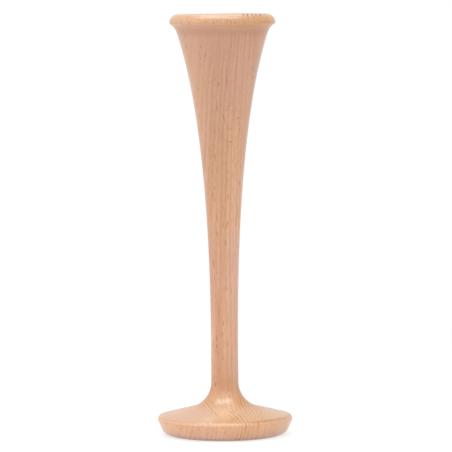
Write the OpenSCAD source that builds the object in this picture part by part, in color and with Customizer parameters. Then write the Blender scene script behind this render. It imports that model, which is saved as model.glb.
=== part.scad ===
// Wooden monaural stethoscope: a turned listening horn that stands on its ear plate.
// Millimetres, +Z up along the turning axis, origin at the centre of the foot.
// Every piece is a body of revolution, drawn as half an outline of [radius, height] points.

/* [Overall] */
// Height from the foot to the crest of the lip
total_h = 190; // [170:1:215]

/* [Ear plate] */
// Diameter at the rim's corner, before the corner is rounded
plate_d = 62.5; // [52:0.1:72]
// Height of the rim's corner above the foot
rim_h = 8.45; // [7:0.05:11]
// How far the foot's corner stands in from the rim's corner
rim_undercut = 3.8; // [1:0.1:6]
// Rounding of the rim's corner
rim_edge_r = 1.9; // [0.4:0.1:2.6]
// Rounding of the foot's corner
foot_edge_r = 5.1; // [0.5:0.1:6]
// Width of the flat ring that the instrument stands on
foot_ring_w = 5.5; // [3:0.1:8]
// Depth of the hollow for the ear, at the axis
dish_h = 2; // [0.8:0.1:3]
// Slope of the plate's top, in degrees, rising to the neck
top_slope = 14.1; // [8:0.1:22]
// Radius of the cove between the plate's top and the stem
neck_r = 11.9; // [8:0.1:15]

/* [Stem and bell] */
// Diameter of the stem just above the neck
stem_d = 12.4; // [11:0.1:16]
// How far the stem runs almost straight before the flare takes hold
stem_pull = 17.5; // [5:0.5:45]
// How far the bell's own slope reaches down into the flare
bell_pull = 52.3; // [25:0.1:70]
// Outward lean of the bell where the lip's cove begins, in degrees
bell_angle = 18; // [10:0.1:26]

/* [Lip] */
// Diameter of the lip
lip_d = 47.7; // [40:0.1:58]
// Radius of the cove under the lip
lip_cove_r = 7; // [3:0.1:12]
// Outward lean of the cove where it meets the lip, in degrees
lip_cove_angle = 57.6; // [30:0.1:80]
// How far the lip stands out from the end of the cove
lip_step = 0.45; // [0.4:0.05:2]
// Rounding of the lip's lower corner
lip_under_r = 0.35; // [0.2:0.05:0.4]
// Height of the straight band around the lip
lip_band_h = 0.25; // [0.1:0.05:2]
// Rounding of the lip's outer top
lip_edge_r = 3.9; // [2:0.1:4.5]
// Width of the flat left on the crest
crest_w = 0.4; // [0.2:0.1:1.5]
// Rounding of the mouth's inner corner
mouth_edge_r = 1.4; // [0.6:0.1:2.2]

/* [Sound bore] */
// Diameter of the straight bore, the same in both pieces
bore_d = 6; // [5:0.1:7]
// Height at which the straight bore starts to open into the bell
throat_h = 85; // [60:1:110]
// How far the bore stays almost straight above the throat
throat_pull = 30; // [10:1:40]
// How far the mouth's own slope reaches down into the bell
mouth_pull = 50; // [30:1:60]
// Outward lean of the bell's inside at the mouth, in degrees
mouth_angle = 13; // [8:0.5:18]
// Rounding of the ear hole's corner
ear_hole_edge_r = 0.6; // [0.2:0.1:1]

/* [Push fit] */
// Wall of the horn's tenon around the bore
tenon_wall = 1.6; // [1.2:0.1:1.9]
// Length of the tenon, from the shoulder to its end
tenon_l = 14; // [8:0.5:16]
// Chamfer on the tenon's end
tenon_chamfer = 0.5; // [0.2:0.1:0.8]
// Radial clearance between the tenon and its socket
fit_clearance = 0.05; // [0.02:0.01:0.1]
// Room left under the tenon's end when the shoulder is seated
tenon_end_gap = 0.3; // [0.2:0.1:1]

/* [Hidden] */

beech = [0.86, 0.67, 0.52];
round_fn = 128;
edge_steps = 8;
cove_steps = 16;
flare_steps = 40;

// Radii of the turned diameters
plate_r = plate_d / 2;
foot_r = plate_r - rim_undercut;
stem_r = stem_d / 2;
lip_r = lip_d / 2;
bore_r = bore_d / 2;
tenon_r = bore_r + tenon_wall;
socket_r = tenon_r + fit_clearance;

// The slope of the plate's top runs into the neck's cove, which ends upright at the stem
cove_foot = let (r = stem_r + neck_r * (1 - sin(top_slope)))
    [r, rim_h + (plate_r - r) * tan(top_slope)];
seat_h = cove_foot[1] + neck_r * cos(top_slope);

// The tenon hangs from the seat, and the socket is deeper by the end gap
tenon_end_h = seat_h - tenon_l;
socket_floor_h = tenon_end_h - tenon_end_gap;

// Corners of the plate's section
foot_corner = [foot_r, 0];
rim_corner = [plate_r, rim_h];

// The dish is part of a sphere whose edge is the foot ring's inside
dish_r = foot_r - foot_ring_w - corner_run([0, 0], foot_corner, rim_corner, foot_edge_r);
dish_sphere_r = (dish_r ^ 2 + dish_h ^ 2) / (2 * dish_h);
ear_hole_corner = [bore_r, dish_height(bore_r)];

// The lip's band sits between its lower and upper roundings, and the cove ends under it
lip_corner = [lip_r, total_h - lip_edge_r - lip_band_h - lip_under_r];
lip_cove_centre = lip_corner - [lip_step, 0] + lip_cove_r * [cos(lip_cove_angle), -sin(lip_cove_angle)];
bell_end = lip_cove_centre + lip_cove_r * [-cos(bell_angle), sin(bell_angle)];
crest_outer = [lip_r - lip_edge_r, total_h];

// The mouth's corner lies one rounding inside the crest's flat
mouth_wall = -[sin(mouth_angle), cos(mouth_angle)];
mouth_run = mouth_edge_r / tan(45 + mouth_angle / 2);
mouth_corner = crest_outer - [crest_w + mouth_run, 0];

// Height of the dish at a radius
function dish_height(r) = dish_h - dish_sphere_r + sqrt(dish_sphere_r ^ 2 - r ^ 2);

// Points on an arc, from one angle to another
function arc_points(centre, r, from, to, steps) =
    [for (i = [0:steps]) let (a = from + (to - from) * i / steps) centre + r * [cos(a), sin(a)]];

// Points on a cubic curve after its first point
function curve_points(a, b, c, d, steps) =
    [for (i = [1:steps]) let (t = i / steps, u = 1 - t)
        u ^ 3 * a + 3 * u ^ 2 * t * b + 3 * u * t ^ 2 * c + t ^ 3 * d];

function unit(v) = v / norm(v);

// Half the angle at corner b, and how far a rounding reaches along each side of it
function half_angle(a, b, c) = acos(unit(a - b) * unit(c - b)) / 2;
function corner_run(a, b, c, r) = r / tan(half_angle(a, b, c));

// Corner b of the path a, b, c, rounded to a radius
function corner_points(a, b, c, r, steps) =
    let (
        into = unit(a - b),
        out = unit(c - b),
        centre = b + unit(into + out) * r / sin(half_angle(a, b, c)),
        start = b + into * corner_run(a, b, c, r) - centre,
        end = b + out * corner_run(a, b, c, r) - centre,
        from = atan2(start[1], start[0]),
        sweep = (atan2(end[1], end[0]) - from + 540) % 360 - 180
    )
    arc_points(centre, r, from, from + sweep, steps);

// Hollow underside, from the ear hole's rounded corner out to the foot ring
function dish_points() =
    let (first = bore_r + 2 * ear_hole_edge_r)
    concat(
        corner_points([bore_r, socket_floor_h], ear_hole_corner, [first, dish_height(first)],
            ear_hole_edge_r, edge_steps),
        [for (i = [0:cove_steps]) let (r = first + (dish_r - first) * i / cove_steps)
            [r, dish_height(r)]]
    );

// Outside of the horn, from the shoulder up to the crest
function horn_outside() =
    let (cove = arc_points(lip_cove_centre, lip_cove_r, 180 - bell_angle, 180 - lip_cove_angle, edge_steps))
    concat(
        [[stem_r, seat_h]],
        curve_points([stem_r, seat_h], [stem_r, seat_h + stem_pull],
            bell_end - bell_pull * [sin(bell_angle), cos(bell_angle)], bell_end, flare_steps),
        [for (i = [1:edge_steps]) cove[i]],
        corner_points(cove[edge_steps], lip_corner, [lip_r, total_h], lip_under_r, edge_steps),
        arc_points(crest_outer - [0, lip_edge_r], lip_edge_r, 0, 90, cove_steps)
    );

// Inside of the horn, from the crest down to the throat
function horn_inside() =
    let (
        mouth = corner_points(crest_outer, mouth_corner, mouth_corner + mouth_wall,
            mouth_edge_r, edge_steps),
        mouth_end = mouth[edge_steps]
    )
    concat(
        mouth,
        curve_points(mouth_end, mouth_end + mouth_pull * mouth_wall,
            [bore_r, throat_h + throat_pull], [bore_r, throat_h], flare_steps)
    );

// Flared horn with its lip, stem and tenon, bored from end to end
module horn() {
    color(beech)
        rotate_extrude($fn = round_fn)
            polygon(concat(
                [
                    [bore_r, tenon_end_h],
                    [tenon_r - tenon_chamfer, tenon_end_h],
                    [tenon_r, tenon_end_h + tenon_chamfer],
                    [tenon_r, seat_h]
                ],
                horn_outside(),
                horn_inside()
            ));
}

// Round ear plate with its neck, the socket for the tenon and the ear hole
module ear_plate() {
    color(beech)
        rotate_extrude($fn = round_fn)
            polygon(concat(
                dish_points(),
                corner_points([0, 0], foot_corner, rim_corner, foot_edge_r, edge_steps),
                corner_points(foot_corner, rim_corner, cove_foot, rim_edge_r, edge_steps),
                arc_points([stem_r + neck_r, seat_h], neck_r, 270 - top_slope, 180, cove_steps),
                [
                    [socket_r, seat_h],
                    [socket_r, socket_floor_h],
                    [bore_r, socket_floor_h]
                ]
            ));
}

horn();
ear_plate();
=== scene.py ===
"""Looks of the turned beech listening horn: its two pieces, their wood, the stage and the camera."""

import math
from types import SimpleNamespace

import bpy
from mathutils import Matrix, Vector


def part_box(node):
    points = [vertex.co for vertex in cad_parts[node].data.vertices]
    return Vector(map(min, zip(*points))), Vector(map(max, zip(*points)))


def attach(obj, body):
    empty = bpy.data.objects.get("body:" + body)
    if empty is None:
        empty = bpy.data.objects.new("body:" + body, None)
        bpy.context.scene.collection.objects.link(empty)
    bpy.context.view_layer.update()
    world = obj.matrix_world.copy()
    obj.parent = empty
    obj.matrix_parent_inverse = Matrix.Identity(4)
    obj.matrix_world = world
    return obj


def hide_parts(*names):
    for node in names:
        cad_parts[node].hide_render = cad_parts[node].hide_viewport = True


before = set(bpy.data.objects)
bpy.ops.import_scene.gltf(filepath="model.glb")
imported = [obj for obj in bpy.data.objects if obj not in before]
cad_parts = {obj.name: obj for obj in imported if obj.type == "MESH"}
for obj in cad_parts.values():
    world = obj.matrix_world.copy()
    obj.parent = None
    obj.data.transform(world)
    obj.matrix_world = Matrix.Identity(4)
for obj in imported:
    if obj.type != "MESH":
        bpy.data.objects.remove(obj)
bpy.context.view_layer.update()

# Sizes of the turned section in millimetres; the seat, the tenon's end and the lip come from the frame
MM = 0.001
PLATE_CORNER_R = 31.25
RIM_H = 8.45
RIM_UNDERCUT = 3.8
RIM_EDGE_R = 1.9
FOOT_EDGE_R = 5.1
FOOT_RING_W = 5.5
DISH_H = 2.0
TOP_SLOPE = math.radians(14.1)
NECK_R = 11.9
STEM_R = 6.2
STEM_PULL = 17.5
BELL_PULL = 52.3
BELL_ANGLE = math.radians(18)
LIP_COVE_R = 7.0
LIP_COVE_ANGLE = math.radians(57.6)
LIP_STEP = 0.45
LIP_UNDER_R = 0.35
LIP_BAND_H = 0.25
LIP_EDGE_R = 3.9
CREST_W = 0.4
MOUTH_EDGE_R = 1.4
MOUTH_PULL = 50.0
MOUTH_ANGLE = math.radians(13)
BORE_R = 3.0
THROAT_H = 85.0
THROAT_PULL = 30.0
EAR_HOLE_EDGE_R = 0.6
TENON_WALL = 1.6
TENON_CHAMFER = 0.5
FIT_CLEARANCE = 0.05
TENON_END_GAP = 0.3

# Steps of the section's roundings and curves, and around the axis
EDGE_STEPS = 12
CURVE_STEPS = 64
TURN_STEPS = 192
SHARP_ANGLE = math.radians(24)

# The photograph's viewpoint in metres and radians, and its frame in pixels
PHOTO_PX = 452
SENSOR_MM = 36.0
FOCAL_PX = 3333.5
CAMERA_PLACE = (0.0, -1.5, 0.20281)
CAMERA_PITCH = 0.07209
CAMERA_ROLL = -0.0075
AXIS_PX = 223.7

# Growth rings: the way across them in plan, and their spacing, centre and straying in millimetres
GRAIN_TURN = math.radians(14)
RING_SPACING = 1.75
PITH_DISTANCE = 160.0
RING_WANDER = 4.5
RING_FRAY = 0.6

# Sizes of the grain's features across the rings, along them and up the fibres, in millimetres
WANDER_SIZE = (11, 11, 130)
FRAY_SIZE = (1.2, 1.2, 30)
BREAK_SIZE = (2.5, 2.5, 9)
STEADY_SIZE = (3, 20, 60)
DRIFT_SIZE = (8, 8, 60)
WIDE_STREAK_SIZE = (1.3, 20, 90)
END_STREAK_SIZE = (0.9, 0.9, 50)
FIBRE_SIZE = (0.35, 0.35, 12)
THREAD_SIZE = (0.45, 0.45, 12)
PORE_SIZE = (0.22, 0.22, 2.5)
RAY_SIZE = (6, 0.6, 4.5)
TALL_RAY_SIZE = (2.2, 1.1, 9)

# A ramp is two values of what it follows, then its results there; heights and places are in millimetres
# Through one growth ring: the soft shade, the crisp line and how much a ring's strength varies
RING_SWELL = (0.0, 0.4, 0.0, 1.0)
RING_EBB = (0.4, 1.0, 1.0, 0.0)
LINE_RISE = (0.0, 0.08, 0.0, 1.0)
LINE_FALL = (0.14, 0.45, 1.0, 0.0)
RING_STRENGTH = (0.0, 1.0, 0.4, 1.0)

# The zone where the grain is clear, which lies further to the left on the face under the rim
FACE_TOP = (8.0, 9.2)
ZONE_LEFT = (-15.0, -8.0, 0.15, 1.0)
ZONE_RIGHT = (10.0, 19.0, 1.0, 0.35)
ZONE_LEFT_SHIFT = (*FACE_TOP, 13.0, 0.0)
ZONE_RIGHT_SHIFT = (*FACE_TOP, 6.0, 0.0)

# The two ends of the stick, and how far a surface faces up or down to show end grain
LIP_START = (185.2, 185.8, 0.0, 1.0)
LIP_OUTSIDE = (18.2, 19.4, 0.0, 1.0)
BELL_TOP = (150.0, 160.0, 0.0, 1.0)
BELL_END_GRAIN = (0.0, 1.0, 1.0, 0.2)
END_GRAIN = (0.3, 0.75, 0.0, 1.0)
FOOT_END = (8.0, 11.0, 1.0, 0.0)
FOOT_SOAK = 0.3

# Depth of the rings' dark lines: by the cut, on the lip, on the rim's face, beside the neck, on the crest
CUT_LINES = (0.0, 1.0, 0.18, 1.0)
LIP_LINES = (0.0, 1.0, 1.0, 0.6)
FACE_LINES = (-12.0, 2.0, 0.4, 1.0)
PLAIN_LEFT = (-9.0, -7.0, 0.0, 0.65)
PLAIN_RIGHT = (-4.0, -2.0, 1.0, 0.0)
PLAIN_SHIFT = (11.5, 14.5, 0.0, -6.0)
CREST_LINES = (0.8, 0.97, 0.0, 1.0)
CREST_LINES_ACROSS = (0.0, 10.0, 0.3, 1.0)
LINE_BREAKS = (0.35, 0.6, 0.35, 1.0)
END_LINES_KEPT = 0.7

# Fibres, dark threads, pores and rays: shares of their noise, their depths and a ray's solid core
FIBRES = (0.4, 0.75, 0.0, 0.32)
END_FIBRES = (0.0, 1.0, 1.0, 0.35)
BELL_FIBRES = (125.0, 155.0, 1.0, 0.75)
THREADS = (0.57, 0.7, 0.0, 1.0)
PORES = (0.58, 0.72, 0.0, 1.0)
PORE_DEPTH = 0.3
RAYS_KEPT = 0.35
RAY_SOLID = 0.4
RAY_CORE = 0.34
RAY_FACING = (0.2, 0.8, 0.2, 0.9)
TALL_RAY_CORE = 0.2
TALL_RAY_DEPTH = 0.38

# Wood along the side: slow drift of tone, wide streaks, soft rings and a painted shade just under the lip
DRIFT_UP = (60.0, 150.0, 0.12, -0.12)
DRIFT_TONES = (0.3, 0.7, 0.0, 1.0)
SIDE_FIGURE = (0.0, 1.0, 0.35, 1.0)
BELL_FIGURE = (140.0, 165.0, 1.0, 0.85)
WIDE_STREAKS = (0.4, 0.65, 0.0, 0.4)
SOFT_RINGS = (0.35, 0.6, 0.3, 0.6)
UNDER_LIP_UP = (183.4, 185.0, 0.0, 0.75)
UNDER_LIP_ACROSS = (-6.0, 2.0, 0.0, 1.0)
UNDER_LIP_OUTSIDE = (18.8, 20.0, 0.0, 1.0)

# Wood of the lip and its crest, with painted shade darkening it to the right and up its rounding
LIP_RIGHTWARD = (-8.0, 20.0, 0.0, 1.0)
LIP_UP = (187.0, 188.6, 0.0, 1.0)
# The crest's dark tone: end grain's darker colour and painted shade of the mouth's inside
CREST_TONE = (0.92, 0.985, 0.0, 0.8)
CREST_TONE_ACROSS = (0.0, 12.0, 0.5, 1.2)

# Wood of the plate's top: pale left of the middle, golden, then dull to the right
PALE_SHIFT = (9.0, 12.0, 8.0, 0.0)
PALE_ACROSS = (-13.0, -5.0, 0.0, 1.0)
PALE_UP = (9.0, 12.0, 0.4, 1.0)
GOLD_ACROSS = (0.0, 4.0, 0.0, 1.0)
DULL_ACROSS = (10.0, 26.0, 0.0, 1.0)
END_STREAKS = (0.4, 0.7, 0.0, 0.3)

# The neck's warm tone, partly painted shade, and the foot edge's greyer one, painted light from the floor
NECK_START = (11.5, 16.0, 0.0, 1.0)
NECK_END = (22.0, 30.0, 0.65, 0.0)
NECK_SIDES = (4.5, 9.0, 0.6, 1.4)
FOOT_EDGE_UP = (0.5, 4.5, 0.7, 0.0)
FOOT_EDGE_FACING = (0.85, 0.99, 1.0, 0.0)

# Edge of a dark mark in shares of its size, the marks' places (the front half and the whole crest)
# and how far a band of tone fades at its ends, in millimetres
MARK_EDGE = (0.3, 1.2)
MARKS_FRONT = (-1.0, 0.0, 1.0, 0.0)
MARKS_CREST = (189.0, 189.3, 0.0, 1.0)
BAND_FADE = 6.0

# Colours of the wood
SIDE_PINK = (0.64, 0.363, 0.25, 1)
SIDE_YELLOW = (0.635, 0.358, 0.217, 1)
UNDER_LIP_PAINTED_SHADE = (0.42, 0.195, 0.085, 1)
STREAK_BROWN = (0.507, 0.265, 0.142, 1)
RING_BROWN = (0.497, 0.255, 0.137, 1)
LIP_LOW_LEFT = (0.672, 0.385, 0.22, 1)
LIP_LOW_RIGHT = (0.637, 0.325, 0.142, 1)
LIP_HIGH_SHADED_LEFT = (0.57, 0.34, 0.212, 1)
LIP_HIGH_SHADED_RIGHT = (0.557, 0.3, 0.14, 1)
CREST_DARK_AND_SHADE = (0.26, 0.185, 0.115, 1)
END_PINK = (0.53, 0.3, 0.192, 1)
END_PALE = (0.637, 0.428, 0.274, 1)
END_GOLD = (0.555, 0.306, 0.148, 1)
END_DULL = (0.552, 0.335, 0.2, 1)
END_BROWN = (0.507, 0.295, 0.152, 1)
NECK_WARM_AND_SHADE = (0.522, 0.263, 0.118, 1)
FOOT_FLOOR_LIGHT = (0.6, 0.4, 0.345, 1)
FIBRE_BROWN = (0.427, 0.21, 0.107, 1)
PORE_BROWN = (0.327, 0.14, 0.067, 1)
LINE_BROWN = (0.347, 0.152, 0.05, 1)
RAY_BROWN = (0.287, 0.13, 0.067, 1)
MARK_BROWN = (0.307, 0.135, 0.052, 1)

# Surface under the lacquer: roughness by the fibres, and how far pores, rays and lines sink
ROUGHNESS = (0.25, 0.75, 0.42, 0.54)
SUNK_SHARE = 0.6
RELIEF_H = 0.05

# Soft patches of tone, some of them painted highlight and shade: ramps up the height, ramps from left to
# right, colour
SIDE_TONE_AND_SHADE_PATCHES = (
    # Warm wood low on the stem
    ([(9.0, 14.0, 0.2, 1.0), (32.0, 52.0, 0.5, 0.0)], [], (0.592, 0.32, 0.182, 1)),
    # Painted shade under the lip, darkening the wood up to it
    ([(178.5, 184.0, 0.0, 1.0)], [], (0.525, 0.268, 0.175, 1)),
)
LIP_HIGHLIGHT_AND_SHADE_PATCHES = (
    # Painted shade on the shoulder below the top
    (
        [(187.7, 188.2, 0.0, 0.35), (188.6, 189.0, 1.0, 0.0)],
        [(-14.0, -9.0, 0.0, 1.0), (0.0, 5.0, 1.0, 0.0)],
        (0.44, 0.25, 0.14, 1),
    ),
    # Painted highlight on the middle of the top
    ([(188.7, 189.3, 0.0, 0.9)], [(-19.0, -11.0, 0.0, 1.0), (4.0, 14.0, 1.0, 0.2)], (0.68, 0.465, 0.345, 1)),
    # Painted shade on the left and right of the top
    ([(188.4, 189.4, 0.0, 1.0)], [(-25.0, -18.0, 0.4, 0.0)], (0.4, 0.25, 0.14, 1)),
    ([(188.4, 189.4, 0.0, 1.0)], [(10.0, 15.0, 0.0, 0.4)], (0.4, 0.25, 0.14, 1)),
)
PLATE_TONE_AND_HIGHLIGHT_PATCHES = (
    # Pale streak in the upper part of the neck
    (
        [(16.8, 18.2, 0.0, 0.34), (19.6, 21.0, 1.0, 0.0)],
        [(-3.5, -1.0, 0.0, 1.0), (1.5, 4.0, 1.0, 0.0)],
        (0.68, 0.42, 0.275, 1),
    ),
    # Dark streak on the lower left of the neck
    (
        [(12.6, 14.2, 0.0, 0.4), (15.6, 17.4, 1.0, 0.0)],
        [(-7.0, -5.0, 0.0, 1.0), (-2.0, 1.8, 1.0, 0.0)],
        (0.44, 0.22, 0.1, 1),
    ),
    # Painted highlight along the rim's edge
    (
        [(6.8, 7.9, 0.0, 0.7), (7.9, 8.5, 1.0, 0.0)],
        [(-24.0, -13.0, 0.15, 1.0), (6.0, 17.0, 1.0, 0.1)],
        (0.705, 0.47, 0.325, 1),
    ),
    # Painted shade in a thin line above it
    ([(8.35, 8.6, 0.0, 0.35), (8.8, 9.1, 1.0, 0.0)], [(-9.0, -4.0, 0.0, 1.0)], (0.44, 0.235, 0.13, 1)),
)

# Small dark marks on the front and the crest; those on the crest are partly ring marks and partly painted
# shade of the mouth's inside
# Across, height, half width, half length, lean in degrees, depth
DARK_MARKS_AND_CREST_SHADE = (
    # On the crest: ring marks and painted shade of the mouth's inside
    (9.5, 189.6, 0.45, 0.75, 0, 1.0),
    (11.2, 189.6, 0.65, 0.75, 0, 0.9),
    (13.3, 189.6, 0.5, 0.75, 0, 0.9),
    (15, 189.5, 0.5, 0.75, 0, 1.0),
    (17, 189.5, 0.5, 0.75, 0, 1.0),
    (4.5, 188.3, 0.3, 1.1, 0, 0.35),
    (-10.3, 188.2, 0.3, 0.7, 0, 0.4),
    (14.2, 188, 0.3, 1.3, 0, 0.35),
    (2.4, 187.5, 0.3, 2, 0, 0.45),
    (-18.3, 186.7, 0.35, 0.6, 0, 0.4),
    (-15.6, 186.9, 0.7, 0.4, 0, 0.3),
    (-7, 186.7, 0.4, 0.55, 0, 0.7),
    (-3.8, 186.6, 0.6, 0.55, 0, 0.45),
    (-1.7, 186.9, 0.4, 0.55, 0, 0.35),
    (18.5, 186.5, 1.6, 0.35, 0, 0.35),
    (1.9, 160, 0.3, 4.5, 0, 0.45),
    (-1.9, 159, 0.45, 1, 0, 0.5),
    (-2.5, 148, 0.3, 2, 0, 0.4),
    (0.3, 144, 0.3, 3, -22, 0.55),
    (6.8, 143.5, 0.6, 0.65, 0, 0.45),
    (-0.7, 136, 0.35, 3.2, 0, 0.3),
    (3, 133, 2, 0.55, 0, 0.3),
    (-3.6, 126, 0.3, 2.3, 0, 0.55),
    (-0.3, 103.5, 0.35, 1.6, 0, 0.4),
    (-3, 99, 0.35, 2, 0, 0.45),
    (1.6, 96, 0.6, 1.4, 0, 0.35),
    (-3.1, 91.5, 0.35, 1.5, 0, 0.6),
    (0.8, 87.5, 0.55, 1.5, 0, 0.4),
    (-4.7, 78.5, 0.35, 1.3, 0, 0.5),
    (-2.5, 56.5, 0.35, 4, 0, 0.4),
    (-0.5, 51, 0.35, 1.4, 0, 0.6),
    (-0.9, 46, 0.35, 1.3, 0, 0.5),
    (-3.6, 44, 0.35, 1.4, 0, 0.8),
    (-3.6, 40.5, 0.35, 1, 0, 0.9),
    (-3.2, 38, 0.35, 2, 0, 0.45),
    (-0.8, 35, 0.4, 0.9, 0, 0.5),
    (-2.7, 30, 0.35, 1.6, 0, 0.35),
    (-4.2, 23, 0.35, 1.3, 0, 0.8),
    (20, 8.9, 12, 0.55, 0, 0.4),
    (-20.2, 7.3, 0.35, 1.3, 0, 0.3),
    (-9.7, 7, 0.35, 1.1, 0, 0.4),
    (-21.5, 6.5, 0.35, 1.3, 0, 0.35),
    (0, 4.5, 0.35, 1.3, 0, 0.35),
)

# Upright bands of another tone, two of them painted shade: across, half width, lowest and highest part,
# colour, share
TONE_AND_SHADE_BANDS = (
    (-5.2, 1.8, 52.0, 90.0, (0.57, 0.308, 0.22, 1), 0.75),
    (-2.3, 1.4, 26.0, 64.0, (0.535, 0.297, 0.184, 1), 0.7),
    (3.2, 4.0, 85.0, 148.0, (0.68, 0.392, 0.237, 1), 0.7),
    (4.5, 2.7, 18.0, 92.0, (0.628, 0.395, 0.315, 1), 0.7),
    (-1.4, 2.0, 18.0, 32.0, (0.565, 0.28, 0.175, 1), 0.5),
    (-2.5, 3.0, 116.0, 142.0, (0.617, 0.345, 0.207, 1), 0.6),
    # Painted shade on the bell's right side
    (18.0, 4.0, 140.0, 175.0, (0.52, 0.29, 0.215, 1), 0.45),
    # Painted shade under the lip's right side
    (18.0, 6.0, 180.0, 192.0, (0.46, 0.21, 0.12, 1), 0.45),
    (-14.0, 8.0, -8.0, 8.0, (0.665, 0.42, 0.295, 1), 0.35),
    (24.0, 6.0, -8.0, 8.0, (0.495, 0.33, 0.21, 1), 0.8),
)

# The floor: ramps by the distance from the axis in metres, its greys and its own light
FLOOR_FAR = (0.12, 0.5, 0.0, 1.0)
GLOW_INNER = (0.03, 0.045, 0.0, 0.6)
GLOW_OUTER = (0.1, 0.25, 1.0, 0.0)
GLOW_UNDER = (0.024, 0.028, 0.8, 0.0)
PAPER_NEAR = (0.95, 0.95, 0.95, 1)
PAPER_FAR = (0.6, 0.6, 0.6, 1)
SHADED_GREY = (0.28, 0.28, 0.28, 1)
SHADED_GLOW = 0.74
WHITE = (1, 1, 1, 1)


def point(r, z):
    return Vector((r, z))


def arc_points(centre, r, start, end, steps):
    """Points on an arc between two angles."""
    angles = [start + (end - start) * i / steps for i in range(steps + 1)]
    return [centre + r * Vector((math.cos(a), math.sin(a))) for a in angles]


def curve_points(a, b, c, d, steps):
    """Points on a cubic curve after its first point."""
    points = []
    for i in range(1, steps + 1):
        t = i / steps
        u = 1 - t
        points.append(u ** 3 * a + 3 * u ** 2 * t * b + 3 * u * t ** 2 * c + t ** 3 * d)
    return points


def corner_run(a, b, c, r):
    """How far a rounding of corner b reaches along each of its sides."""
    return r / math.tan((a - b).angle(c - b) / 2)


def corner_points(a, b, c, r):
    """Corner b of the path a, b, c, rounded to a radius."""
    into, out = (a - b).normalized(), (c - b).normalized()
    centre = b + (into + out).normalized() * r / math.sin((a - b).angle(c - b) / 2)
    first = b + into * corner_run(a, b, c, r) - centre
    last = b + out * corner_run(a, b, c, r) - centre
    start = math.atan2(first.y, first.x)
    sweep = (math.atan2(last.y, last.x) - start + math.pi) % math.tau - math.pi
    return arc_points(centre, r, start, start + sweep, EDGE_STEPS)


def straight_points(a, b, steps):
    """Points on a straight stretch, both ends left out."""
    return [a.lerp(b, i / steps) for i in range(1, steps)]


def horn_section(seat_h, tenon_end_h, lip_r, total_h):
    """Half section of the horn, anticlockwise from the inner end of its tenon."""
    tenon_r = BORE_R + TENON_WALL
    lip_corner = point(lip_r, total_h - LIP_EDGE_R - LIP_BAND_H - LIP_UNDER_R)
    cove_lean = Vector((math.cos(LIP_COVE_ANGLE), -math.sin(LIP_COVE_ANGLE)))
    cove_centre = lip_corner - point(LIP_STEP, 0) + LIP_COVE_R * cove_lean
    bell_end = cove_centre + LIP_COVE_R * Vector((-math.cos(BELL_ANGLE), math.sin(BELL_ANGLE)))
    bell_way = Vector((math.sin(BELL_ANGLE), math.cos(BELL_ANGLE)))
    shoulder = point(STEM_R, seat_h)
    cove = arc_points(cove_centre, LIP_COVE_R, math.pi - BELL_ANGLE, math.pi - LIP_COVE_ANGLE, EDGE_STEPS)
    crest = point(lip_r - LIP_EDGE_R, total_h)
    mouth_way = Vector((-math.sin(MOUTH_ANGLE), -math.cos(MOUTH_ANGLE)))
    mouth_run = MOUTH_EDGE_R / math.tan(math.pi / 4 + MOUTH_ANGLE / 2)
    mouth_corner = crest - point(CREST_W + mouth_run, 0)
    mouth = corner_points(crest, mouth_corner, mouth_corner + mouth_way, MOUTH_EDGE_R)
    throat = point(BORE_R, THROAT_H)
    tenon = [
        point(BORE_R, tenon_end_h),
        point(tenon_r - TENON_CHAMFER, tenon_end_h),
        point(tenon_r, tenon_end_h + TENON_CHAMFER),
        point(tenon_r, seat_h),
        shoulder,
    ]
    flare = curve_points(
        shoulder, shoulder + point(0, STEM_PULL), bell_end - BELL_PULL * bell_way, bell_end, CURVE_STEPS
    )
    lip = corner_points(cove[-1], lip_corner, point(lip_r, total_h), LIP_UNDER_R)
    lip += arc_points(crest - point(0, LIP_EDGE_R), LIP_EDGE_R, 0, math.pi / 2, 2 * EDGE_STEPS)
    inside = curve_points(
        mouth[-1], mouth[-1] + MOUTH_PULL * mouth_way, throat + point(0, THROAT_PULL), throat, CURVE_STEPS
    )
    return tenon + flare + cove[1:] + lip + mouth + inside + straight_points(throat, tenon[0], EDGE_STEPS)


def plate_section(seat_h, tenon_end_h):
    """Half section of the ear plate, anticlockwise from the ear hole."""
    socket_r = BORE_R + TENON_WALL + FIT_CLEARANCE
    floor_h = tenon_end_h - TENON_END_GAP
    foot = point(PLATE_CORNER_R - RIM_UNDERCUT, 0)
    rim = point(PLATE_CORNER_R, RIM_H)
    cove_foot_r = STEM_R + NECK_R * (1 - math.sin(TOP_SLOPE))
    cove_foot = point(cove_foot_r, seat_h - NECK_R * math.cos(TOP_SLOPE))
    dish_r = foot.x - FOOT_RING_W - corner_run(point(0, 0), foot, rim, FOOT_EDGE_R)
    sphere_r = (dish_r ** 2 + DISH_H ** 2) / (2 * DISH_H)

    def dish(r):
        return point(r, DISH_H - sphere_r + math.sqrt(sphere_r ** 2 - r ** 2))

    dish_start = BORE_R + 2 * EAR_HOLE_EDGE_R
    hole_top = point(BORE_R, floor_h)
    hole = corner_points(hole_top, dish(BORE_R), dish(dish_start), EAR_HOLE_EDGE_R)
    hollow = [dish(dish_start + (dish_r - dish_start) * i / CURVE_STEPS) for i in range(CURVE_STEPS + 1)]
    foot_edge = corner_points(point(0, 0), foot, rim, FOOT_EDGE_R)
    rim_edge = corner_points(foot, rim, cove_foot, RIM_EDGE_R)
    face = straight_points(foot_edge[-1], rim_edge[0], EDGE_STEPS)
    top = straight_points(rim_edge[-1], cove_foot, 2 * EDGE_STEPS)
    neck = arc_points(
        point(STEM_R + NECK_R, seat_h), NECK_R, 1.5 * math.pi - TOP_SLOPE, math.pi, 2 * EDGE_STEPS
    )
    socket = [point(socket_r, seat_h), point(socket_r, floor_h), hole_top]
    return hole + hollow + foot_edge + face + rim_edge + top + neck + socket


def put(name, data):
    """A new object in the scene."""
    made = bpy.data.objects.new(name, data)
    bpy.context.scene.collection.objects.link(made)
    return made


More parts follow.
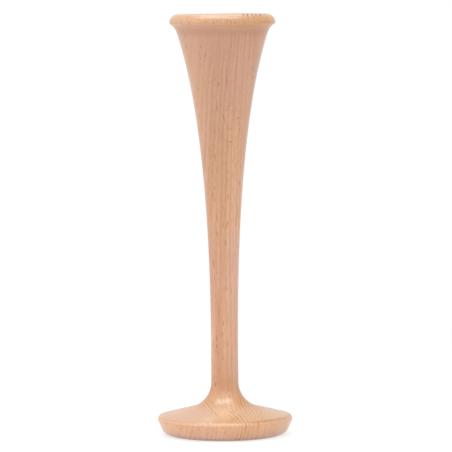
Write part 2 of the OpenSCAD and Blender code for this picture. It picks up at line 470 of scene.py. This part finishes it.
def turned(name, section):
    """A closed mesh: the half section, in millimetres, turned about the Z axis."""
    count = len(section)
    verts, faces = [], []
    for i in range(TURN_STEPS):
        angle = math.tau * i / TURN_STEPS
        verts += [(MM * p.x * math.cos(angle), MM * p.x * math.sin(angle), MM * p.y) for p in section]
        here, there = i * count, (i + 1) % TURN_STEPS * count
        for j in range(count):
            k = (j + 1) % count
            faces.append((here + j, there + j, there + k, here + k))
    mesh = bpy.data.meshes.new(name)
    mesh.from_pydata(verts, [], faces)
    mesh.validate()
    mesh.set_sharp_from_angle(angle=SHARP_ANGLE)
    return put(name, mesh)


def emptied_tree(owner):
    """The node tree of a material or a world, with no nodes in it."""
    owner.use_nodes = True
    owner.node_tree.nodes.clear()
    return owner.node_tree


def add(tree, kind, inputs, **settings):
    """A shader node with its settings, and its inputs set to values or linked to sockets."""
    made = tree.nodes.new("ShaderNode" + kind)
    for key, value in settings.items():
        setattr(made, key, value)
    for key, value in inputs.items():
        if isinstance(value, bpy.types.NodeSocket):
            tree.links.new(value, made.inputs[key])
        else:
            made.inputs[key].default_value = value
    return made


def calc(tree, operation, a, b=0.0):
    return add(tree, "Math", {0: a, 1: b}, operation=operation).outputs[0]


def product(tree, *shares):
    """Shares multiplied together."""
    result = shares[0]
    for share in shares[1:]:
        result = calc(tree, "MULTIPLY", result, share)
    return result


def largest(tree, *shares):
    result = shares[0]
    for share in shares[1:]:
        result = calc(tree, "MAXIMUM", result, share)
    return result


def remap(tree, value, ramp):
    """A value eased along a ramp."""
    keys = ("From Min", "From Max", "To Min", "To Max")
    inputs = {"Value": value, **dict(zip(keys, ramp))}
    return add(tree, "MapRange", inputs, interpolation_type="SMOOTHSTEP").outputs[0]


def length(tree, vector):
    return add(tree, "VectorMath", {0: vector}, operation="LENGTH").outputs["Value"]


def plan_length(tree, vector):
    """Length of a vector in plan, without its height."""
    return length(tree, add(tree, "VectorMath", {0: vector, 1: (1, 1, 0)}, operation="MULTIPLY").outputs[0])


def stretched(tree, place, sizes):
    """Coordinates in which a pattern's features have these sizes along the grain's axes."""
    return add(tree, "VectorMath", {0: place, 1: sizes}, operation="DIVIDE").outputs[0]


def noise(tree, place, sizes, detail=2.0, roughness=0.5):
    inputs = {
        "Vector": stretched(tree, place, sizes),
        "Scale": 1.0,
        "Detail": detail,
        "Roughness": roughness,
    }
    return add(tree, "TexNoise", inputs).outputs[0]


def blend(tree, share, a, b):
    """Two colours mixed by a share."""
    return add(tree, "Mix", {0: share, 6: a, 7: b}, data_type="RGBA").outputs[2]


def patched(tree, height, side, colour, patches):
    """A colour with soft patches of other tones."""
    for up, along, tone in patches:
        shares = [remap(tree, height, ramp) for ramp in up] + [remap(tree, side, ramp) for ramp in along]
        colour = blend(tree, product(tree, *shares), colour, tone)
    return colour


def wood_spot(tree):
    """Where a point lies in the stick, in millimetres, and how far it faces across the rings and upright."""
    source = add(tree, "TexCoord", {})
    turn = (0, 0, -GRAIN_TURN)
    in_mm = add(tree, "VectorMath", {0: source.outputs["Object"], 3: 1 / MM}, operation="SCALE").outputs[0]
    # In the grain's own axes X runs across the rings, Y along them and Z up the fibres
    place = add(tree, "Mapping", {0: in_mm, "Rotation": turn}).outputs[0]
    normal = add(tree, "Mapping", {0: source.outputs["Normal"], "Rotation": turn}).outputs[0]
    facing = add(tree, "VectorMath", {0: normal}, operation="ABSOLUTE").outputs[0]
    straight = add(tree, "SeparateXYZ", {0: in_mm}).outputs
    facing_parts = add(tree, "SeparateXYZ", {0: facing}).outputs
    return SimpleNamespace(
        place=place,
        across=add(tree, "SeparateXYZ", {0: place}).outputs[0],
        sideways=straight[0],
        backward=straight[1],
        height=straight[2],
        radius=plan_length(tree, in_mm),
        facing_across=facing_parts[0],
        facing_up=facing_parts[2],
    )


def figured_zone(tree, spot):
    """How strongly the grain shows: clear in a zone across the middle of the stick, faint beside it."""
    left = calc(tree, "ADD", spot.across, remap(tree, spot.height, ZONE_LEFT_SHIFT))
    right = calc(tree, "ADD", spot.across, remap(tree, spot.height, ZONE_RIGHT_SHIFT))
    return product(tree, remap(tree, left, ZONE_LEFT), remap(tree, right, ZONE_RIGHT))


def growth_rings(tree, place):
    """Shares of late wood in rings around a far pith: a soft shade and a crisp line."""
    from_pith = add(tree, "VectorMath", {0: place, 1: (-PITH_DISTANCE, 0, 0)}, operation="ADD").outputs[0]
    wander = calc(tree, "MULTIPLY", noise(tree, place, WANDER_SIZE), RING_WANDER)
    fray = calc(tree, "MULTIPLY", noise(tree, place, FRAY_SIZE), RING_FRAY)
    wavy = calc(tree, "ADD", plan_length(tree, from_pith), calc(tree, "ADD", wander, fray))
    ring = calc(tree, "DIVIDE", wavy, RING_SPACING)
    through = calc(tree, "FRACT", ring)
    pick = add(tree, "TexWhiteNoise", {"W": calc(tree, "FLOOR", ring)}, noise_dimensions="1D").outputs[0]
    strength = remap(tree, pick, RING_STRENGTH)
    soft = product(tree, remap(tree, through, RING_SWELL), remap(tree, through, RING_EBB), strength)
    crisp = product(tree, remap(tree, through, LINE_RISE), remap(tree, through, LINE_FALL), strength)
    return soft, crisp


def end_shares(tree, spot):
    """Shares of the stick's two ends and of end grain, which drink the lacquer."""
    near_lip = product(tree, remap(tree, spot.height, LIP_START), remap(tree, spot.radius, LIP_OUTSIDE))
    under_lip = calc(tree, "SUBTRACT", remap(tree, spot.height, BELL_TOP), near_lip)
    end_grain = product(tree, remap(tree, spot.facing_up, END_GRAIN), remap(tree, under_lip, BELL_END_GRAIN))
    near_foot = remap(tree, spot.height, FOOT_END)
    return SimpleNamespace(near_lip=near_lip, near_foot=near_foot, end_grain=end_grain)


def ring_lines(tree, spot, ends, figure, crisp):
    """Share of the rings' dark lines: deep where the wood is cut across, faint and broken along it."""
    cut_across = largest(tree, ends.end_grain, ends.near_lip, ends.near_foot)
    face_depth = remap(tree, spot.across, FACE_LINES)
    depth = product(
        tree,
        figure,
        remap(tree, cut_across, CUT_LINES),
        remap(tree, ends.near_lip, LIP_LINES),
        remap(tree, spot.height, (*FACE_TOP, face_depth, 1.0)),
    )
    plain_edge = calc(tree, "ADD", spot.across, remap(tree, spot.height, PLAIN_SHIFT))
    plain = product(
        tree, remap(tree, spot.across, PLAIN_LEFT), remap(tree, plain_edge, PLAIN_RIGHT), ends.end_grain
    )
    crest = product(
        tree,
        ends.near_lip,
        remap(tree, spot.facing_up, CREST_LINES),
        remap(tree, spot.across, CREST_LINES_ACROSS),
    )
    depth = largest(tree, product(tree, depth, calc(tree, "SUBTRACT", 1.0, plain)), crest)
    broken = remap(tree, noise(tree, spot.place, BREAK_SIZE), LINE_BREAKS)
    kept = largest(tree, broken, calc(tree, "MULTIPLY", ends.end_grain, END_LINES_KEPT))
    return product(tree, crisp, depth, kept)


def wood_rays(tree, place, sizes, core):
    """Flat spindles that lie across the rings, of which only a share is kept."""
    cell = add(tree, "TexVoronoi", {"Vector": stretched(tree, place, sizes), "Scale": 1.0})
    pick = add(tree, "SeparateColor", {0: cell.outputs["Color"]}).outputs[0]
    spindle = remap(tree, cell.outputs["Distance"], (RAY_SOLID * core, core, 1.0, 0.0))
    return product(tree, spindle, remap(tree, pick, (1 - RAYS_KEPT, 1.0, 0.0, 1.0)))


def fine_grain(tree, spot):
    """Fibres, long dark threads, pores and the flecks of rays."""
    fibre = noise(tree, spot.place, FIBRE_SIZE, detail=3.0, roughness=0.65)
    thread = remap(tree, noise(tree, spot.place, THREAD_SIZE), THREADS)
    pore = remap(tree, noise(tree, spot.place, PORE_SIZE, detail=1.0), PORES)
    ray = wood_rays(tree, spot.place, RAY_SIZE, RAY_CORE)
    tall_ray = wood_rays(tree, spot.place, TALL_RAY_SIZE, TALL_RAY_CORE)
    fleck = largest(
        tree,
        product(tree, ray, remap(tree, spot.facing_across, RAY_FACING)),
        product(tree, tall_ray, TALL_RAY_DEPTH),
    )
    return SimpleNamespace(fibre=fibre, thread=thread, pore=pore, fleck=fleck)


def tone_bands(tree, spot, colour):
    """The wood's colour with its upright bands of other tones, two of them painted shade on the right."""
    for across, half_width, low, high, tone, share in TONE_AND_SHADE_BANDS:
        off = calc(tree, "ABSOLUTE", calc(tree, "SUBTRACT", spot.sideways, across))
        beside = remap(tree, off, (0.5 * half_width, 1.5 * half_width, share, 0.0))
        above = remap(tree, spot.height, (low - BAND_FADE, low + BAND_FADE, 0.0, 1.0))
        below = remap(tree, spot.height, (high - BAND_FADE, high + BAND_FADE, 1.0, 0.0))
        colour = blend(tree, product(tree, beside, above, below), colour, tone)
    return colour


def mark_share(tree, spot):
    """Share of the small dark marks on the front of the stick and on the crest, those on the crest partly
    painted shade.
    """
    flat = add(tree, "CombineXYZ", {0: spot.sideways, 2: spot.height}).outputs[0]
    share = 0.0
    for across, height, half_width, half_length, lean, depth in DARK_MARKS_AND_CREST_SHADE:
        inputs = {
            0: flat,
            "Location": (across, 0, height),
            "Rotation": (0, math.radians(lean), 0),
            "Scale": (half_width, 1, half_length),
        }
        inside = add(tree, "Mapping", inputs, vector_type="TEXTURE").outputs[0]
        share = largest(tree, share, remap(tree, length(tree, inside), (*MARK_EDGE, depth, 0.0)))
    front = largest(tree, remap(tree, spot.backward, MARKS_FRONT), remap(tree, spot.height, MARKS_CREST))
    return product(tree, share, front)


def side_wood(tree, spot, figure, soft):
    """Colour of the wood along the stick's side, with its bands, streaks and soft rings, and painted shade
    under the lip and on the bell's right side.
    """
    drift = calc(tree, "ADD", noise(tree, spot.place, DRIFT_SIZE), remap(tree, spot.height, DRIFT_UP))
    colour = blend(tree, remap(tree, drift, DRIFT_TONES), SIDE_PINK, SIDE_YELLOW)
    colour = patched(tree, spot.height, spot.across, colour, SIDE_TONE_AND_SHADE_PATCHES)
    colour = tone_bands(tree, spot, colour)
    # Painted shade just under the lip, on its middle and right
    under_lip = product(
        tree,
        remap(tree, spot.height, UNDER_LIP_UP),
        remap(tree, spot.across, UNDER_LIP_ACROSS),
        remap(tree, spot.radius, UNDER_LIP_OUTSIDE),
    )
    colour = blend(tree, under_lip, colour, UNDER_LIP_PAINTED_SHADE)
    clear = product(tree, remap(tree, figure, SIDE_FIGURE), remap(tree, spot.height, BELL_FIGURE))
    streaks = remap(tree, noise(tree, spot.place, WIDE_STREAK_SIZE), WIDE_STREAKS)
    colour = blend(tree, product(tree, streaks, clear), colour, STREAK_BROWN)
    steady = remap(tree, noise(tree, spot.place, STEADY_SIZE), SOFT_RINGS)
    return blend(tree, product(tree, soft, steady, clear), colour, RING_BROWN)


def lip_wood(tree, spot):
    """Colour of the lip: yellower to the right, darker to the right and upward as painted shade, with
    patches of painted highlight and shade and a crest darkened both as end grain and as painted shade.
    """
    rightward = remap(tree, spot.across, LIP_RIGHTWARD)
    low = blend(tree, rightward, LIP_LOW_LEFT, LIP_LOW_RIGHT)
    high = blend(tree, rightward, LIP_HIGH_SHADED_LEFT, LIP_HIGH_SHADED_RIGHT)
    colour = blend(tree, remap(tree, spot.height, LIP_UP), low, high)
    colour = patched(tree, spot.height, spot.across, colour, LIP_HIGHLIGHT_AND_SHADE_PATCHES)
    # Crest darkened as end grain and as painted shade of the mouth's inside
    crest = product(
        tree, remap(tree, spot.facing_up, CREST_TONE), remap(tree, spot.across, CREST_TONE_ACROSS)
    )
    return blend(tree, crest, colour, CREST_DARK_AND_SHADE)


def end_wood(tree, spot, near_lip):
    """Colour of the wood at the stick's two ends: the plate's top and the lip."""
    pale_place = calc(tree, "ADD", spot.across, remap(tree, spot.height, PALE_SHIFT))
    pale = product(tree, remap(tree, pale_place, PALE_ACROSS), remap(tree, spot.height, PALE_UP))
    colour = blend(tree, pale, END_PINK, END_PALE)
    colour = blend(tree, remap(tree, pale_place, GOLD_ACROSS), colour, END_GOLD)
    colour = blend(tree, remap(tree, spot.across, DULL_ACROSS), colour, END_DULL)
    colour = blend(tree, near_lip, colour, lip_wood(tree, spot))
    streak = noise(tree, spot.place, END_STREAK_SIZE, detail=3.0, roughness=0.6)
    return blend(tree, remap(tree, streak, END_STREAKS), colour, END_BROWN)


def plate_tones(tree, spot, colour):
    """The wood's colour with the plate's own tones: a warm neck, partly painted shade, a greyer foot edge
    that is painted light from the floor, and a painted highlight with painted shade along the rim's edge.
    """
    # A warm tone on the neck, partly the wood's own and partly painted shade
    neck = product(
        tree,
        remap(tree, spot.height, NECK_START),
        remap(tree, spot.height, NECK_END),
        remap(tree, calc(tree, "ABSOLUTE", spot.sideways), NECK_SIDES),
    )
    colour = blend(tree, neck, colour, NECK_WARM_AND_SHADE)
    # Painted light from the white floor: a greyer, bluer tone low on the foot's edge
    foot = product(
        tree, remap(tree, spot.height, FOOT_EDGE_UP), remap(tree, spot.facing_up, FOOT_EDGE_FACING)
    )
    colour = blend(tree, foot, colour, FOOT_FLOOR_LIGHT)
    return patched(tree, spot.height, spot.sideways, colour, PLATE_TONE_AND_HIGHLIGHT_PATCHES)


def lacquered_beech():
    """Beech under a satin lacquer: growth rings, rays, fibres and pores, fixed in the solid wood."""
    material = bpy.data.materials.new("lacquered_beech")
    tree = emptied_tree(material)
    spot = wood_spot(tree)
    figure = figured_zone(tree, spot)
    soft, crisp = growth_rings(tree, spot.place)
    ends = end_shares(tree, spot)
    line = ring_lines(tree, spot, ends, figure, crisp)
    fine = fine_grain(tree, spot)

    soaked = largest(tree, product(tree, ends.near_foot, FOOT_SOAK), ends.near_lip, ends.end_grain)
    colour = blend(tree, soaked, side_wood(tree, spot, figure, soft), end_wood(tree, spot, ends.near_lip))
    colour = plate_tones(tree, spot, colour)
    along = product(
        tree, figure, remap(tree, ends.end_grain, END_FIBRES), remap(tree, spot.height, BELL_FIBRES)
    )
    colour = blend(tree, product(tree, remap(tree, fine.fibre, FIBRES), along), colour, FIBRE_BROWN)
    dark = product(tree, largest(tree, fine.pore, fine.thread), along, PORE_DEPTH)
    colour = blend(tree, dark, colour, PORE_BROWN)
    colour = blend(tree, line, colour, LINE_BROWN)
    colour = blend(tree, fine.fleck, colour, RAY_BROWN)
    colour = blend(tree, mark_share(tree, spot), colour, MARK_BROWN)

    sunk = largest(tree, fine.pore, fine.fleck, line)
    relief = calc(tree, "SUBTRACT", fine.fibre, product(tree, sunk, SUNK_SHARE))
    bump = add(tree, "Bump", {"Height": relief, "Strength": 0.25, "Distance": RELIEF_H * MM})
    shader = add(
        tree,
        "BsdfPrincipled",
        {
            "Base Color": colour,
            "Roughness": remap(tree, fine.fibre, ROUGHNESS),
            "IOR": 1.5,
            "Specular IOR Level": 0.05,
            "Coat Weight": 0.75,
            "Coat Roughness": 0.25,
            "Coat Normal": add(tree, "NewGeometry", {}).outputs["Normal"],
            "Normal": bump.outputs[0],
        },
    )
    add(tree, "OutputMaterial", {0: shader.outputs[0]})
    return material


def dress(node, name, section, material):
    """Puts a turned piece in a CAD node's place, riding on the node's body."""
    piece = turned(name, section)
    piece.data.materials.append(material)
    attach(piece, node)
    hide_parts(node)


def seen_share(tree):
    """1 for rays that see the stage directly, in a gloss or through glass, and 0 for rays that light."""
    path = add(tree, "LightPath", {}).outputs
    return largest(tree, path["Is Camera Ray"], path["Is Glossy Ray"], path["Is Transmission Ray"])


def pale_floor():
    """Paper that shows white, keeps a soft shadow near the object and is clear from below."""
    material = bpy.data.materials.new("pale_floor")
    tree = emptied_tree(material)
    geometry = add(tree, "NewGeometry", {}).outputs
    from_axis = length(tree, geometry["Position"])
    far = remap(tree, from_axis, FLOOR_FAR)
    bounce = add(tree, "BsdfDiffuse", {"Color": blend(tree, far, PAPER_NEAR, PAPER_FAR)}).outputs[0]
    ring = product(tree, remap(tree, from_axis, GLOW_INNER), remap(tree, from_axis, GLOW_OUTER))
    glow = calc(tree, "ADD", ring, remap(tree, from_axis, GLOW_UNDER))
    under_light = add(tree, "Emission", {"Color": WHITE, "Strength": glow}).outputs[0]
    lighting = add(tree, "AddShader", {0: bounce, 1: under_light}).outputs[0]
    shaded = add(tree, "BsdfDiffuse", {"Color": SHADED_GREY}).outputs[0]
    shaded_glow = add(tree, "Emission", {"Color": WHITE, "Strength": SHADED_GLOW}).outputs[0]
    near_look = add(tree, "AddShader", {0: shaded, 1: shaded_glow}).outputs[0]
    white = add(tree, "Emission", {"Color": WHITE, "Strength": 1.0}).outputs[0]
    look = add(tree, "MixShader", {0: far, 1: near_look, 2: white}).outputs[0]
    above = add(tree, "MixShader", {0: seen_share(tree), 1: lighting, 2: look}).outputs[0]
    clear = add(tree, "BsdfTransparent", {}).outputs[0]
    both = add(tree, "MixShader", {0: geometry["Backfacing"], 1: above, 2: clear}).outputs[0]
    add(tree, "OutputMaterial", {0: both})
    return material


def make_floor(half_width, level):
    """A pale floor under the object."""
    mesh = bpy.data.meshes.new("floor")
    corners = [(-1, -1), (1, -1), (1, 1), (-1, 1)]
    mesh.from_pydata([(half_width * x, half_width * y, level) for x, y in corners], [], [(0, 1, 2, 3)])
    mesh.materials.append(pale_floor())
    floor = put("floor", mesh)


def make_world(strength):
    """Even light from all around, behind a white background."""
    world = bpy.data.worlds.new("studio")
    tree = emptied_tree(world)
    light = calc(tree, "ADD", product(tree, seen_share(tree), 1 - strength), strength)
    back = add(tree, "Background", {"Color": WHITE, "Strength": light})
    add(tree, "OutputWorld", {0: back.outputs[0]})
    bpy.context.scene.world = world


def make_softbox(name, place, aim, width, depth, watts):
    lamp = bpy.data.lights.new(name, "AREA")
    lamp.shape = "RECTANGLE"
    lamp.size = width
    lamp.size_y = depth
    lamp.energy = watts
    box = put(name, lamp)
    box.location = place
    box.rotation_euler = (Vector(aim) - Vector(place)).to_track_quat("-Z", "Y").to_euler()


def make_camera():
    """The photograph's viewpoint: just above the lip's height, looking a little down, with a slight roll."""
    data = bpy.data.cameras.new("photo_camera")
    data.sensor_width = SENSOR_MM
    data.lens = FOCAL_PX * SENSOR_MM / PHOTO_PX
    data.shift_x = (PHOTO_PX / 2 - AXIS_PX) / PHOTO_PX
    camera = put("photo_camera", data)
    look = Matrix.Rotation(math.pi / 2 - CAMERA_PITCH, 4, "X")
    camera.matrix_world = Matrix.Translation(CAMERA_PLACE) @ look @ Matrix.Rotation(CAMERA_ROLL, 4, "Z")
    bpy.context.scene.camera = camera


seat_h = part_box("ear_plate")[1].z / MM
tenon_end_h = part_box("horn")[0].z / MM
horn_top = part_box("horn")[1] / MM
beech = lacquered_beech()
dress("horn", "turned_horn", horn_section(seat_h, tenon_end_h, horn_top.x, horn_top.z), beech)
dress("ear_plate", "turned_ear_plate", plate_section(seat_h, tenon_end_h), beech)

make_floor(half_width=4.0, level=-0.00005)
make_world(strength=0.5)
make_softbox("key", place=(-0.1, -0.3, 1.7), aim=(0, 0, 0.08), width=1.8, depth=0.75, watts=31.5)
make_softbox("left_fill", place=(-0.6, -0.1, 0.3), aim=(0, 0, 0.1), width=0.5, depth=0.5, watts=0.5)
make_softbox("front_fill", place=(0, -1.3, 0.3), aim=(0, 0, 0.1), width=0.6, depth=0.6, watts=0.5)
make_softbox("right_fill", place=(0.6, -0.1, 0.3), aim=(0, 0, 0.1), width=0.5, depth=0.5, watts=0.4)
make_camera()
bpy.context.scene.view_settings.view_transform = "Standard"
